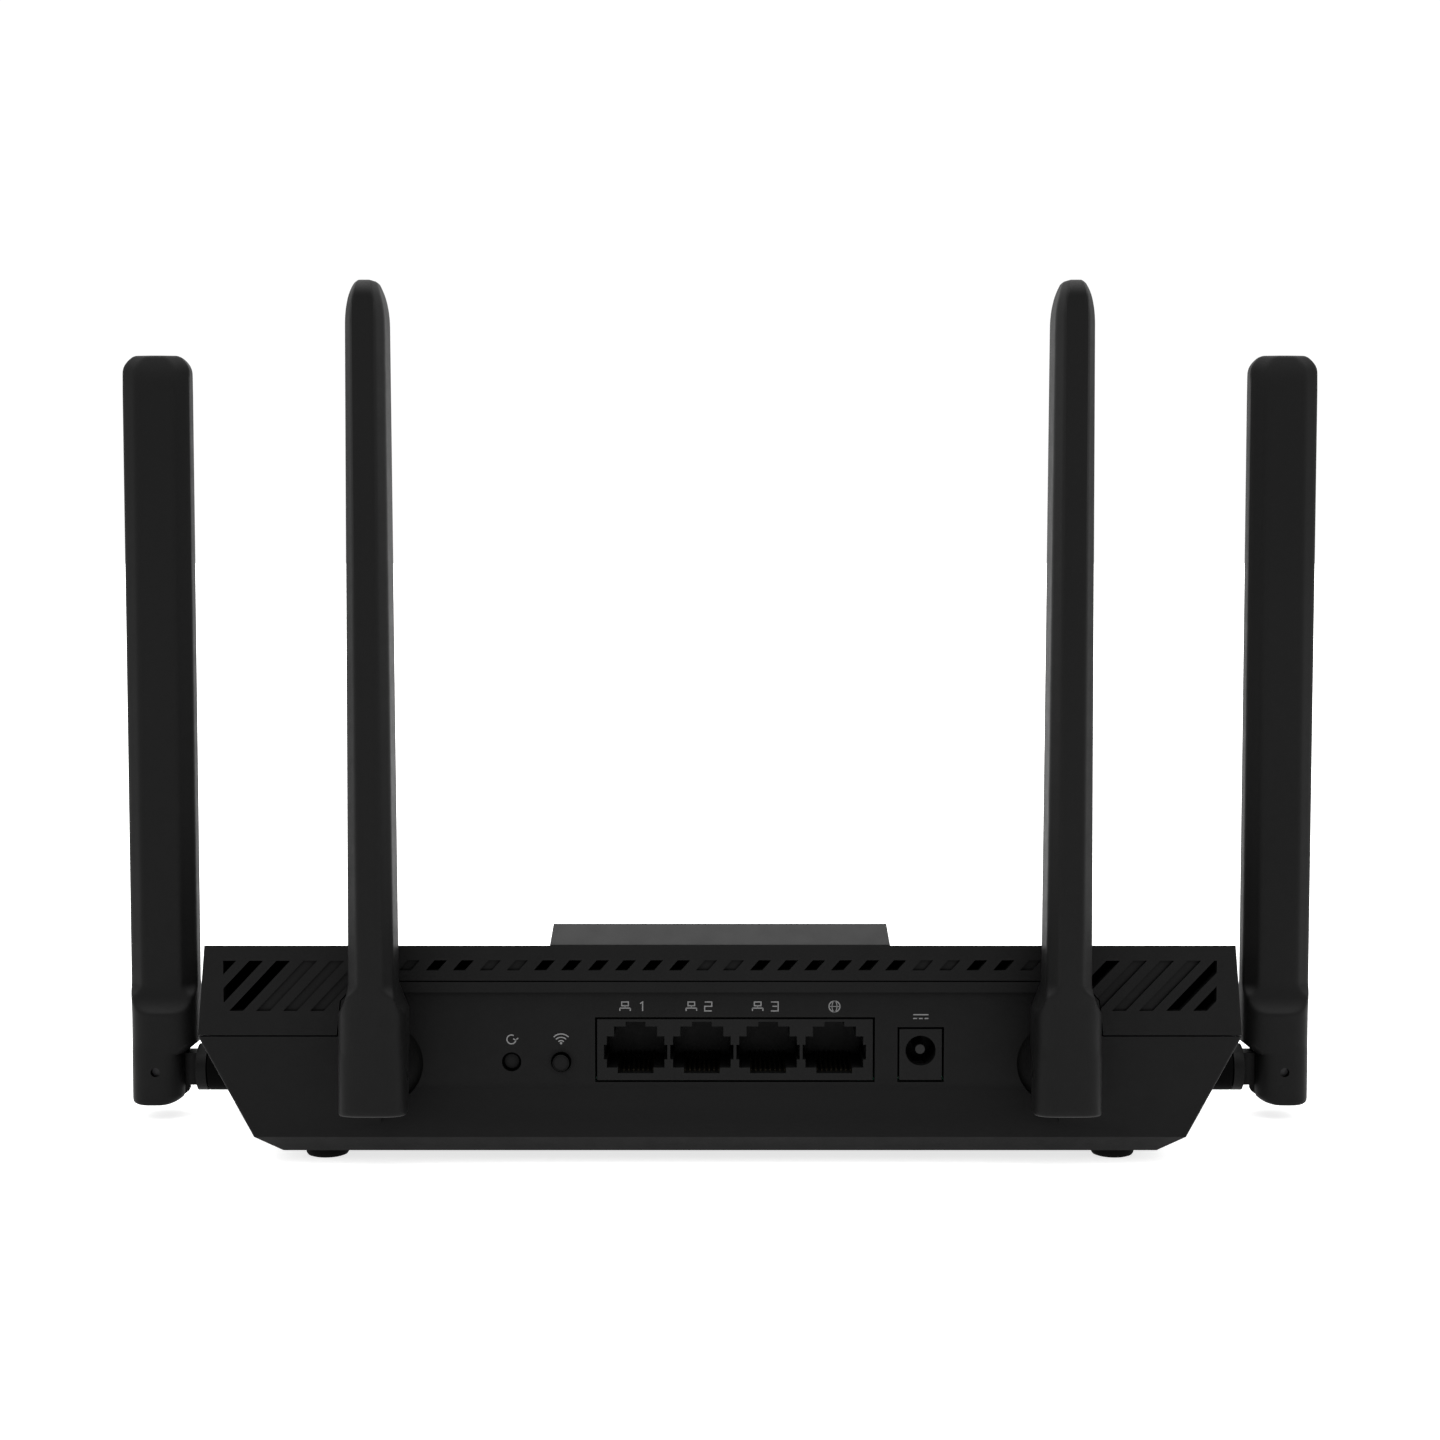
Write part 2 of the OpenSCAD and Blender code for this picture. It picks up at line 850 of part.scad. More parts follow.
module line_transformers()
    color([0.1, 0.1, 0.11])
        for (x = [-17, 11])
            on_board(x, panel_y - block_depth - 7, [16, 8, 3.4]);

module capacitors()
    color([0.2, 0.22, 0.3])
        for (p = [[-36, 26], [-44, 26], [-57, 42]])
            translate([p.x, rear_y - p.y, board_top])
                cylinder(r = 3, h = 9);

module inductors()
    color([0.25, 0.25, 0.25])
        for (p = [[-47, 42], [-38, 42]])
            on_board(p.x, rear_y - p.y, [6.5, 6.5, 3]);

module crystals()
    color(metal)
        for (p = [[20, 56], [-20, 56]])
            on_board(p.x, rear_y - p.y, [3.2, 2.5, 0.8]);

module status_leds()
    color([0.9, 0.9, 0.8])
        for (i = [0:lamp_count - 1])
            on_board((i - (lamp_count - 1) / 2) * lamp_pitch, lamp_y, [1.6, 1.2, 0.7]);

// ---------------------------------------------------------------- antennas

// Puts a piece drawn about its pin where its antenna stands, with +Y outward from the case
module at_rear(s)
    translate([s * rear_pin_x, rear_y + rear_pin_out, rear_pin_z])
        children();

module at_side(s)
    translate([s * side_pin_x, rear_y - side_pin_in, side_pin_z])
        rotate([0, 0, -90 * s])
            children();

blade_low = 18.5;
base_top = 14;
heel_top = 3.9;
heel_slope_top = 6.2;
facet = 4.6;
blade_bevel = 3.2;
base_bevel = 1.5;
blade_t_low = 9.5;
blade_t_top = 8.1;
slot_w = tongue_t + 0.6;
slot_r = tongue_r + move_clear;

// Cross-section of the antenna: t thick, from u0 to u1, with bevelled edges
module antenna_section(t, u0, u1, flat, bevel)
    linear_extrude(0.02)
        polygon([
            [-flat / 2, u0], [flat / 2, u0], [t / 2, u0 + bevel], [t / 2, u1 - bevel],
            [flat / 2, u1], [-flat / 2, u1], [-t / 2, u1 - bevel], [-t / 2, u0 + bevel],
        ]);

module blade_section(t, trim = 0)
    antenna_section(t, -blade_inner + trim, base_half - trim, min(facet, t - 0.4), blade_bevel);

// Tip of the blade: each row is depth below the tip, share of the thickness, and trim of the width
tip_steps = [[9, 1, 0], [6, 0.95, 0.1], [3.6, 0.85, 0.6], [1.6, 0.72, 1.6], [0.4, 0.6, 2.9], [0, 0.54, 3.6]];

module blade()
    hull() {
        translate([0, 0, blade_low])
            blade_section(blade_t_low);
        for (k = tip_steps)
            translate([0, 0, antenna_len - k[0] - 0.02])
                blade_section(blade_t_top * k[1], k[2]);
    }

// Lower end: rounded about the pin on the case side, so that it clears the knuckle as it folds
module base_form() {
    arc_from = 180 + acos(base_half / heel_r);
    arc_to = 180 + asin(base_below / heel_r);
    intersection() {
        across(concat(
            [[base_half, base_top], [-blade_inner, base_top], [-blade_inner, heel_slope_top]],
            [[-base_half, heel_top]],
            [for (k = [0:5]) let(a = arc_from + (arc_to - arc_from) * k / 5)
                [heel_r * cos(a), heel_r * sin(a)]],
            [[base_half - 1.4, -base_below], [base_half, -base_below + 1.4]]), base_t);
        translate([0, 0, -20])
            linear_extrude(60)
                polygon([
                    [-base_t / 2 + base_bevel, -blade_inner], [base_t / 2 - base_bevel, -blade_inner],
                    [base_t / 2, -blade_inner + base_bevel], [base_t / 2, base_half - base_bevel],
                    [base_t / 2 - base_bevel, base_half], [-base_t / 2 + base_bevel, base_half],
                    [-base_t / 2, base_half - base_bevel], [-base_t / 2, -blade_inner + base_bevel],
                ]);
    }
}

cavity_w = 9;
cavity_t = 3.2;
cavity_low = 24;
cavity_top = antenna_len - 16;
cavity_u = (base_half - blade_inner) / 2;
feed_r = 1;

module antenna()
    color(shell_black)
        difference() {
            union() {
                blade();
                hull() {
                    translate([0, 0, base_top - 0.02])
                        antenna_section(base_t, -blade_inner, base_half,
                            base_t - 2 * base_bevel, base_bevel);
                    translate([0, 0, blade_low])
                        blade_section(blade_t_low);
                }
                base_form();
            }
            translate([-slot_w / 2, -30, -30])
                cube([slot_w, 30 + slot_r, 30 + slot_r]);
            translate([-base_t, 0, 0])
                rotate([0, 90, 0])
                    cylinder(r = pin_d / 2 + run_clear, h = 2 * base_t);
            translate([-cavity_t / 2, cavity_u - cavity_w / 2, cavity_low])
                cube([cavity_t, cavity_w, cavity_top - cavity_low]);
            translate([0, cavity_u, 0])
                cylinder(r = feed_r + 0.3, h = cavity_low + 1);
        }

// Printed strip inside the blade, with the tail of its feed
module radiator()
    color([0.12, 0.3, 0.2])
        union() {
            translate([-0.4, cavity_u - cavity_w / 2, cavity_low])
                cube([0.8, cavity_w, cavity_top - cavity_low - 12]);
            translate([0, cavity_u, slot_r + 1])
                cylinder(r = 0.65, h = cavity_low - slot_r);
        }

// inner is the distance from the pin to the inner face that the clip bears on
module knuckle(inner)
    color(shell_black)
        difference() {
            union() {
                translate([-tongue_t / 2, flange_u - 0.5, -tongue_r])
                    cube([tongue_t, 0.5 - flange_u, 2 * tongue_r]);
                translate([-tongue_t / 2, 0, 0])
                    rotate([0, 90, 0])
                        cylinder(r = tongue_r, h = tongue_t);
                along_u(flange_u, flange_u - flange_t, flange_r);
                along_u(flange_u - flange_t, -inner - move_clear - clip_t - 0.8, neck_d / 2);
            }
            difference() {
                along_u(-inner - move_clear, -inner - move_clear - clip_t, neck_d);
                along_u(-inner, -inner - 2 * clip_t - 1, neck_d / 2 - 0.8);
            }
            along_u(-tongue_r - 1, -inner - 10, feed_r + 0.4);
            translate([0, -tongue_r - 1, 0])
                cylinder(r = feed_r + 0.4, h = tongue_r + 2);
            translate([-base_t, 0, 0])
                rotate([0, 90, 0])
                    cylinder(r = pin_d / 2, h = 2 * base_t);
        }

// A cylinder along u, from one distance to a lower one
module along_u(from, to, r)
    translate([0, from, 0])
        rotate([90, 0, 0])
            cylinder(r = r, h = from - to);

module hinge_pin()
    color(metal)
        translate([-base_t / 2 + 1.5, 0, 0])
            rotate([0, 90, 0])
                cylinder(r = pin_d / 2, h = base_t - 3);

// Open ring in the groove of the neck
module clip(inner)
    color(metal)
        difference() {
            along_u(-inner - move_clear, -inner - move_clear - clip_t, neck_d / 2 + 1.2);
            along_u(-inner, -inner - 10, neck_d / 2 - 0.8);
            translate([-1.2, -inner - 10, -20])
                cube([2.4, 10, 20]);
        }

rear_inner = rear_pin_out + pocket_floor + wall;
side_inner = side_pin_x - side_boss_x;

// Antenna leads inside the case: chosen points from a socket on the board to the knuckle's neck
lead_r = 0.65;
socket_spot_x = 52;
rear_spot_y = rear_y - 30;
side_spot_y = rear_y - 66;
plug_h = 1.6;
lead_z = board_top + plug_h + lead_r;

rear_route = [
    [socket_spot_x, rear_spot_y, lead_z],
    [socket_spot_x + 5, rear_spot_y + 1, lead_z + 1],
    [rear_pin_x - 5, rear_y - 25, rear_pin_z],
    [rear_pin_x, rear_y - 18, rear_pin_z],
    [rear_pin_x, rear_y - pocket_floor - wall - 0.5, rear_pin_z],
];
side_route = [
    [socket_spot_x, side_spot_y, lead_z],
    [board_half - 4, side_spot_y + 2, lead_z + 1],
    [board_half + 5, rear_y - side_pin_in - 6, board_top],
    [side_boss_x - 8, rear_y - side_pin_in - 1, side_pin_z + 0.4],
    [side_boss_x - 4, rear_y - side_pin_in, side_pin_z],
    [side_boss_x + 2, rear_y - side_pin_in, side_pin_z],
];

// Smooth curve through the route's points, sampled evenly
function spline(p0, p1, p2, p3, t) = 0.5 * (
    2 * p1 + (p2 - p0) * t + (2 * p0 - 5 * p1 + 4 * p2 - p3) * t * t
    + (3 * p1 - p0 - 3 * p2 + p3) * t * t * t);
function route_point(pts, s) = let(
    last = len(pts) - 1,
    i = min(floor(s), last - 1)
) spline(pts[max(i - 1, 0)], pts[i], pts[i + 1], pts[min(i + 2, last)], s - i);
function route(pts, steps) = [
    for (k = [0:steps]) route_point(pts, k * (len(pts) - 1) / steps)
];

// Tube with eight sides along a path; each ring stands square to the path and keeps level
module tube(path, r) {
    n = len(path);
    sides = 8;
    rings = [
        for (i = [0:n - 1]) let(
            t = unit(path[min(i + 1, n - 1)] - path[max(i - 1, 0)]),
            a = unit(cross(t, [0, 0, 1])),
            b = cross(a, t)
        ) each [for (k = [0:sides - 1]) path[i] + r * (cos(k * 45) * a + sin(k * 45) * b)]
    ];
    polyhedron(rings, concat(
        [[for (k = [0:sides - 1]) k]],
        [for (i = [0:n - 2], k = [0:sides - 1]) let(j = (k + 1) % sides)
            each [
                [i * sides + k, (i + 1) * sides + k, (i + 1) * sides + j],
                [i * sides + k, (i + 1) * sides + j, i * sides + j],
            ]],
        [[for (k = [sides - 1:-1:0]) (n - 1) * sides + k]]), convexity = 6);
}

module lead(points, s)
    color([0.2, 0.2, 0.2])
        tube([for (p = route(points, 18)) [s * p.x, p.y, p.z]], lead_r);

module antenna_sockets()
    color(gold)
        for (s = [-1, 1], y = [rear_spot_y, side_spot_y])
            translate([s * socket_spot_x, y, board_top])
                cylinder(r = 1.5, h = plug_h);

// ---------------------------------------------------------------- the object

bottom_case();
side_bushes();
top_cover();
centre_trim();
light_guide();
rubber_feet();
base_label();
case_screws();
circuit_board();
board_screws();
socket_block();
socket_contacts();
dc_inlet();
dc_pin();
dc_spring();
tact_switch(reset_x);  // reset_switch
tact_switch(wps_x);  // wps_switch
processor();
thermal_pad();
heat_sink();
memory_chips();
radio_shields();
line_transformers();
capacitors();
inductors();
crystals();
status_leds();
antenna_sockets();
push_button(reset_x, reset_r, reset_out);  // reset_button
plunger(reset_x);  // reset_plunger
push_button(wps_x, wps_r, wps_out);  // wps_button
plunger(wps_x);  // wps_plunger
at_rear(1) antenna();  // rear_right_antenna
at_rear(1) radiator();  // rear_right_radiator
at_rear(1) knuckle(rear_inner);  // rear_right_knuckle
at_rear(1) hinge_pin();  // rear_right_pin
at_rear(1) clip(rear_inner);  // rear_right_clip
lead(rear_route, 1);  // rear_right_lead
at_rear(-1) antenna();  // rear_left_antenna
at_rear(-1) radiator();  // rear_left_radiator
at_rear(-1) knuckle(rear_inner);  // rear_left_knuckle
at_rear(-1) hinge_pin();  // rear_left_pin
at_rear(-1) clip(rear_inner);  // rear_left_clip
lead(rear_route, -1);  // rear_left_lead
at_side(1) antenna();  // side_right_antenna
at_side(1) radiator();  // side_right_radiator
at_side(1) knuckle(side_inner);  // side_right_knuckle
at_side(1) hinge_pin();  // side_right_pin
at_side(1) clip(side_inner);  // side_right_clip
lead(side_route, 1);  // side_right_lead
at_side(-1) antenna();  // side_left_antenna
at_side(-1) radiator();  // side_left_radiator
at_side(-1) knuckle(side_inner);  // side_left_knuckle
at_side(-1) hinge_pin();  // side_left_pin
at_side(-1) clip(side_inner);  // side_left_clip
lead(side_route, -1);  // side_left_lead
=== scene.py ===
"""Looks of a four-antenna wireless router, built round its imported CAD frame.

The port side faces +Y and heights are above the table. "Right" pieces are at +X.
"""

import json
import math

import bmesh
import bpy
from mathutils import Matrix, Vector


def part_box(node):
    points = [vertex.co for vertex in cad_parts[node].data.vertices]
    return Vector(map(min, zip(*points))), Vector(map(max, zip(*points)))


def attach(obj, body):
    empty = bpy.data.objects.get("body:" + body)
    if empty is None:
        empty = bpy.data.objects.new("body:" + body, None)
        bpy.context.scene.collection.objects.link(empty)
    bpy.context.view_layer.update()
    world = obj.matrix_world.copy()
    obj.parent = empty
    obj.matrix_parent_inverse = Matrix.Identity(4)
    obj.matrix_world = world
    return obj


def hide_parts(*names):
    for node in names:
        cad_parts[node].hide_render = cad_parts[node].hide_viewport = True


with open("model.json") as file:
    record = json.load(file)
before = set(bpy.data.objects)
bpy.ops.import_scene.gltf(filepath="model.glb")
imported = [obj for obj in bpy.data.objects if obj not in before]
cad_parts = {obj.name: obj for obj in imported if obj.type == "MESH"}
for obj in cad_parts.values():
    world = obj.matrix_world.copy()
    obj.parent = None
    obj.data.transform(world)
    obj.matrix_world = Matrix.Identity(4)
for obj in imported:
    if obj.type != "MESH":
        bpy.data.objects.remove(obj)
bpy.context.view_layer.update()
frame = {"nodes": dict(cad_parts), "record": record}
nodes = frame["nodes"]
MM = 0.001

rear_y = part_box("bottom_case")[1].y
panel_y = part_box("socket_block")[1].y
board_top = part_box("circuit_board")[1].z

# ---------------------------------------------------------------- camera

LENS = 62.5
CAMERA_BACK = 0.5183  # metres behind the rear face
CAMERA_UP = 0.1275
CAMERA_TILT = 3.706  # degrees below level

camera = bpy.data.objects.new("camera", bpy.data.cameras.new("camera"))
bpy.context.scene.collection.objects.link(camera)
camera.data.lens = LENS
camera.data.sensor_width = 36
camera.location = (0, rear_y + CAMERA_BACK, CAMERA_UP)
camera.rotation_euler = (math.radians(90 - CAMERA_TILT), 0, math.radians(180))
bpy.context.scene.camera = camera

# ---------------------------------------------------------------- shader helpers

EDGE_WEAR_REACH = 0.0004
PAINTED_SHADE_REACH = 0.0016  # painted shade: the sheen is turned down within this distance of another surface


def feed(tree, node, inputs):
    """Sets each input to a value, or links it where the value is another node's output."""
    for key, value in inputs.items():
        if isinstance(value, bpy.types.NodeSocket):
            tree.links.new(value, node.inputs[key])
        else:
            node.inputs[key].default_value = value


def add(tree, kind, inputs=None, **settings):
    """A new node with its settings and inputs."""
    node = tree.nodes.new(kind)
    for key, value in settings.items():
        setattr(node, key, value)
    feed(tree, node, inputs or {})
    return node


def blank(name):
    """A new material: its tree, its main shader and object coordinates."""
    made = bpy.data.materials.new(name)
    made.use_nodes = True
    tree = made.node_tree
    shader = tree.nodes["Principled BSDF"]
    place = tree.nodes.new("ShaderNodeTexCoord").outputs["Object"]
    return made, tree, shader, place


def noise(tree, place, scale, detail=2.0, rough=0.5):
    inputs = {"Vector": place, "Scale": scale, "Detail": detail, "Roughness": rough}
    return add(tree, "ShaderNodeTexNoise", inputs).outputs["Fac"]


def remap(tree, value, low, high, to_low, to_high):
    inputs = {"Value": value, "From Min": low, "From Max": high,
              "To Min": to_low, "To Max": to_high}
    return add(tree, "ShaderNodeMapRange", inputs).outputs["Result"]


def ranged(tree, cloud, to_low=0, to_high=1):
    """A noise output, most of which lies between 0.3 and 0.7, stretched over another range."""
    return remap(tree, cloud, 0.3, 0.7, to_low, to_high)


def calculate(tree, operation, a, b):
    return add(tree, "ShaderNodeMath", {0: a, 1: b}, operation=operation).outputs[0]


def blend_colour(tree, share, a, b):
    return add(tree, "ShaderNodeMix", {0: share, 6: a, 7: b}, data_type="RGBA").outputs[2]


def bump(tree, height, depth, strength):
    inputs = {"Height": height, "Distance": depth, "Strength": strength}
    return add(tree, "ShaderNodeBump", inputs).outputs["Normal"]


def grey(value):
    return (value, value, value, 1)


def opaque(colour, factor=1):
    """The colour, lighter or darker by the factor."""
    return tuple(min(1, c * factor) for c in colour) + (1,)


def edge_mask(tree, radius):
    """1 on sharp edges and 0 on flats, from how far a rounded normal leans off the surface."""
    round_normal = add(tree, "ShaderNodeBevel", {"Radius": radius}, samples=4).outputs["Normal"]
    flat_normal = tree.nodes.new("ShaderNodeNewGeometry").outputs["Normal"]
    lean = add(tree, "ShaderNodeVectorMath", {0: round_normal, 1: flat_normal},
               operation="DOT_PRODUCT").outputs["Value"]
    return remap(tree, lean, 0.985, 0.85, 0.0, 1.0)


# ---------------------------------------------------------------- materials


def moulded(name, shade, roughness, grain=2600, depth=0.00002, specular=0.5):
    """Moulded plastic: fine grain, cloudy roughness, painted shade in the corners and lighter rubbed
    edges.
    """
    made, tree, shader, place = blank(name)
    broad = noise(tree, place, 28, 3)
    patch = noise(tree, place, 240, 4, 0.6)
    fine = noise(tree, place, grain, 2, 0.6)
    wear = remap(tree, patch, 0.35, 0.75, 0.15, 0.35)
    rubbed = calculate(tree, "MULTIPLY", edge_mask(tree, EDGE_WEAR_REACH), wear)
    colour = blend_colour(tree, ranged(tree, broad), grey(shade * 0.9), grey(shade * 1.12))
    cloudy = calculate(tree, "ADD", ranged(tree, patch, -0.035, 0.035),
                       remap(tree, fine, 0.2, 0.8, -0.04, 0.04))
    rough = calculate(tree, "ADD", cloudy, roughness)
    polish = calculate(tree, "MULTIPLY", rubbed, 0.12)
    # Painted shade: ambient occlusion turns the specular level down near other surfaces, so corners
    # and hollows read darker.
    painted_shade_ao = add(tree, "ShaderNodeAmbientOcclusion", {"Distance": PAINTED_SHADE_REACH},
                     samples=6).outputs["AO"]
    feed(tree, shader, {
        "Base Color": blend_colour(tree, rubbed, colour, grey(shade * 3.2)),
        "Roughness": calculate(tree, "SUBTRACT", rough, polish),
        "Specular IOR Level": remap(tree, painted_shade_ao, 0.45, 0.97, specular * 0.25, specular),
        "Normal": bump(tree, fine, depth, 0.6),
    })
    return made


def metal(name, colour, roughness, stretch=(1, 1, 1)):
    """Plated or brushed metal: streaks along one axis and dull patches."""
    made, tree, shader, place = blank(name)
    scaled = add(tree, "ShaderNodeMapping", {"Vector": place, "Scale": stretch}).outputs["Vector"]
    streak = noise(tree, scaled, 900, 3, 0.6)
    patch = noise(tree, place, 120, 3)
    feed(tree, shader, {
        "Base Color": blend_colour(tree, ranged(tree, patch), opaque(colour, 0.72), opaque(colour)),
        "Roughness": calculate(tree, "ADD", ranged(tree, streak, -0.07, 0.07),
                               ranged(tree, patch, roughness, roughness + 0.1)),
        "Metallic": 1.0,
        "Normal": bump(tree, streak, 0.00001, 0.5),
    })
    return made


def rubber(name, shade, roughness=0.75):
    """Dusty rubber with fine pores."""
    made, tree, shader, place = blank(name)
    dust = noise(tree, place, 90, 4, 0.6)
    pores = noise(tree, place, 1800, 2)
    dusty = remap(tree, dust, 0.45, 0.75, 0, 0.5)
    feed(tree, shader, {
        "Base Color": blend_colour(tree, dusty, grey(shade), grey(shade * 2.2)),
        "Roughness": ranged(tree, dust, roughness - 0.08, roughness + 0.1),
        "Specular IOR Level": 0.06,
        "Normal": bump(tree, pores, 0.00004, 0.7),
    })
    return made


def tinted(name, colour, roughness, variation=0.15, grain=700, specular=0.5):
    """A coloured solid with cloudy shade and fine grain."""
    made, tree, shader, place = blank(name)
    patch = noise(tree, place, 150, 4, 0.6)
    fine = noise(tree, place, grain, 2)
    low, high = opaque(colour, 1 - variation), opaque(colour, 1 + variation)
    feed(tree, shader, {
        "Base Color": blend_colour(tree, ranged(tree, patch), low, high),
        "Roughness": ranged(tree, fine, roughness - 0.06, roughness + 0.06),
        "Specular IOR Level": specular,
        "Normal": bump(tree, fine, 0.00001, 0.5),
    })
    return made


def circuit(name):
    """Solder mask over copper: dark green ground, lighter short tracks in a grid, and vias."""
    made, tree, shader, place = blank(name)
    cells = add(tree, "ShaderNodeTexVoronoi", {"Vector": place, "Scale": 420.0},
                distance="MANHATTAN", feature="F1")
    tracks = add(tree, "ShaderNodeTexBrick",
                 {"Vector": place, "Scale": 260.0, "Mortar Size": 0.09, "Mortar Smooth": 0.1,
                  "Brick Width": 1.7, "Row Height": 0.35}).outputs["Fac"]
    patch = noise(tree, place, 60, 3)
    via = remap(tree, cells.outputs["Distance"], 0.1, 0.06, 0, 1)
    ground = blend_colour(tree, ranged(tree, patch), (0.004, 0.045, 0.024, 1),
                          (0.006, 0.065, 0.034, 1))
    wiring = calculate(tree, "MULTIPLY", tracks, remap(tree, patch, 0.48, 0.52, 0, 0.8))
    wired = blend_colour(tree, wiring, ground, (0.015, 0.14, 0.07, 1))
    feed(tree, shader, {
        "Base Color": blend_colour(tree, via, wired, (0.5, 0.42, 0.2, 1)),
        "Roughness": ranged(tree, patch, 0.28, 0.42),
        "Normal": bump(tree, tracks, 0.00002, 0.4),
    })
    return made


def frosted(name):
    """Smoked plastic with a frosted face."""
    made, tree, shader, place = blank(name)
    cloud = noise(tree, place, 1500, 3)
    feed(tree, shader, {
        "Base Color": blend_colour(tree, cloud, (0.03, 0.032, 0.035, 1), (0.05, 0.053, 0.058, 1)),
        "Roughness": ranged(tree, cloud, 0.3, 0.45),
        "Transmission Weight": 0.1,
        "IOR": 1.49,
    })
    return made


looks = {
    "shell": moulded("shell_plastic", 0.0019, 0.54, specular=0.092),
    "trim": moulded("trim_plastic", 0.0036, 0.5, grain=3200, specular=0.16),
    "antenna": moulded("antenna_plastic", 0.0019, 0.52, specular=0.098),
    "knuckle": moulded("knuckle_plastic", 0.0016, 0.5, grain=1800, specular=0.085),
    # Painted shade: the side bushes are near-black and barely glossy to stand for the shadow under
    # the case's overhang.
    "bush": moulded("bush_painted_shade", 0.0007, 0.6, grain=1800, specular=0.02),
    "ports": moulded("port_plastic", 0.0022, 0.5, grain=1800, depth=0.00001, specular=0.1),
    "light_guide": frosted("frosted_plastic"),
    "feet": rubber("foot_rubber", 0.0016),
    "label": tinted("label_film", (0.6, 0.6, 0.58), 0.5, 0.06),
    "screws": metal("zinc_plate", (0.55, 0.55, 0.58), 0.3),
    "pins": metal("pin_steel", (0.035, 0.035, 0.036), 0.45, stretch=(1, 1, 8)),
    # Painted shade: the power inlet's pin and spring are a matt near-black in place of plated metal,
    # standing for the shade inside the barrel.
    "power_pin": tinted("pin_painted_shade", (0.01, 0.01, 0.01), 0.5, 0.3, specular=0.15),
    "board": circuit("solder_mask"),
    # Painted shade: the socket contacts are a near-black plate so that they read as shaded inside
    # their sockets.
    "contacts": metal("plate_painted_shade", (0.02, 0.017, 0.012), 0.5, stretch=(8, 1, 1)),
    "plated_steel": metal("tin_plate", (0.62, 0.62, 0.65), 0.32),
    "chips": tinted("chip_resin", (0.02, 0.02, 0.022), 0.55, 0.2, grain=2200),
    "pad": tinted("pad_silicone", (0.28, 0.34, 0.42), 0.7, 0.1),
    "heat_sink": metal("anodised_aluminium", (0.6, 0.6, 0.63), 0.38, stretch=(1, 12, 1)),
    "lamps": tinted("lamp_resin", (0.75, 0.75, 0.62), 0.25, 0.08),
    "leads": tinted("lead_jacket", (0.012, 0.012, 0.013), 0.5, 0.15),
}
print_ink = tinted("print_ink", (0.11, 0.11, 0.11), 0.6, 0.12, grain=1800)

antenna_names = ["rear_right", "rear_left", "side_right", "side_left"]


def of_each(*parts):
    """The nodes of every antenna whose names end so."""
    return [f"{name}_{part}" for name in antenna_names for part in parts]


slot_nodes = {
    "shell": ["bottom_case", "top_cover", "side_bushes", "reset_button", "wps_button"],
    "trim": ["centre_trim"],
    "ports": ["socket_block", "dc_inlet"],
    "light_guide": ["light_guide"],
    "feet": ["rubber_feet"],
    "label": ["base_label"],
    "screws": ["case_screws", "board_screws"],
    "pins": of_each("pin", "clip"),
    "board": ["circuit_board"] + of_each("radiator"),
    "contacts": ["socket_contacts", "antenna_sockets"],
    "plated_steel": ["radio_shields", "crystals", "dc_pin", "dc_spring"],
    "chips": ["processor", "memory_chips", "line_transformers", "capacitors", "inductors",
              "reset_switch", "wps_switch", "reset_plunger", "wps_plunger"],
    "pad": ["thermal_pad"],
    "heat_sink": ["heat_sink"],
    "lamps": ["status_leds"],
    "antenna": of_each("antenna"),
    "knuckle": of_each("knuckle"),
    "leads": of_each("lead"),
}
# These are darker than the rest of their slot, as painted shade: on the side bushes it stands for
# the shadow under the case's overhang, and on the power inlet's pin and spring for the shade deep
# inside the barrel.
own_look = {"dc_pin": "power_pin", "dc_spring": "power_pin", "side_bushes": "bush"}
for slot_name, members in slot_nodes.items():
    for member in members:
        data = nodes[member].data
        data.materials.clear()
        data.materials.append(looks[own_look.get(member, slot_name)])

# ---------------------------------------------------------------- mesh helpers

MERGE_WITHIN = 0.000002
SOFT_EDGE_ANGLE = 30
BUTTON_SHRINK = 0.00022


def as_object(name, shape):
    """Turns a bmesh into an object in the scene."""
    mesh = bpy.data.meshes.new(name)
    shape.to_mesh(mesh)
    shape.free()
    made = bpy.data.objects.new(name, mesh)
    bpy.context.scene.collection.objects.link(made)
    return made


def new_piece(name, shape, look, body):
    """Turns a bmesh into an object that rides on a body."""
    piece = as_object(name, shape)
    piece.data.materials.append(look)
    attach(piece, body)
    return piece


def smooth_by_angle(shape, degrees):
    """Shades every face smooth and marks edges sharper than the angle."""
    limit = math.radians(degrees)
    for face in shape.faces:
        face.smooth = True
    for edge in shape.edges:
        edge.smooth = len(edge.link_faces) == 2 and edge.calc_face_angle(0) < limit


def even_normals(piece):
    weighted = piece.modifiers.new("even_normals", "WEIGHTED_NORMAL")
    weighted.keep_sharp = True
    weighted.weight = 80


def round_edges(piece, width, segments=2):
    bevel = piece.modifiers.new("round_edges", "BEVEL")
    bevel.width = width
    bevel.segments = segments
    bevel.harden_normals = False
    return bevel


def soften(node, width):
    """Rounds the edges of a CAD node with modifiers."""
    piece = nodes[node]
    weld = piece.modifiers.new("weld", "WELD")
    weld.merge_threshold = MERGE_WITHIN
    bevel = round_edges(piece, width)
    bevel.limit_method = "ANGLE"
    bevel.angle_limit = math.radians(SOFT_EDGE_ANGLE)
    even_normals(piece)


for node in ("reset_button", "wps_button"):
    soften(node, 0.00015)
    shrink = nodes[node].modifiers.new("wider_gap", "DISPLACE")
    shrink.mid_level = 0
    shrink.strength = -BUTTON_SHRINK
for node in ("rubber_feet", "dc_inlet", "socket_block"):
    soften(node, 0.00012)
for node in of_each("knuckle"):
    soften(node, 0.0003)

# ---------------------------------------------------------------- case shells

COPLANAR_ANGLE = 0.4
ROUNDED_ANGLE = 8  # flatter edges stay as they are
SHELL_SMOOTH_ANGLE = 32
OUTSIDE_SLACK = 0.00003


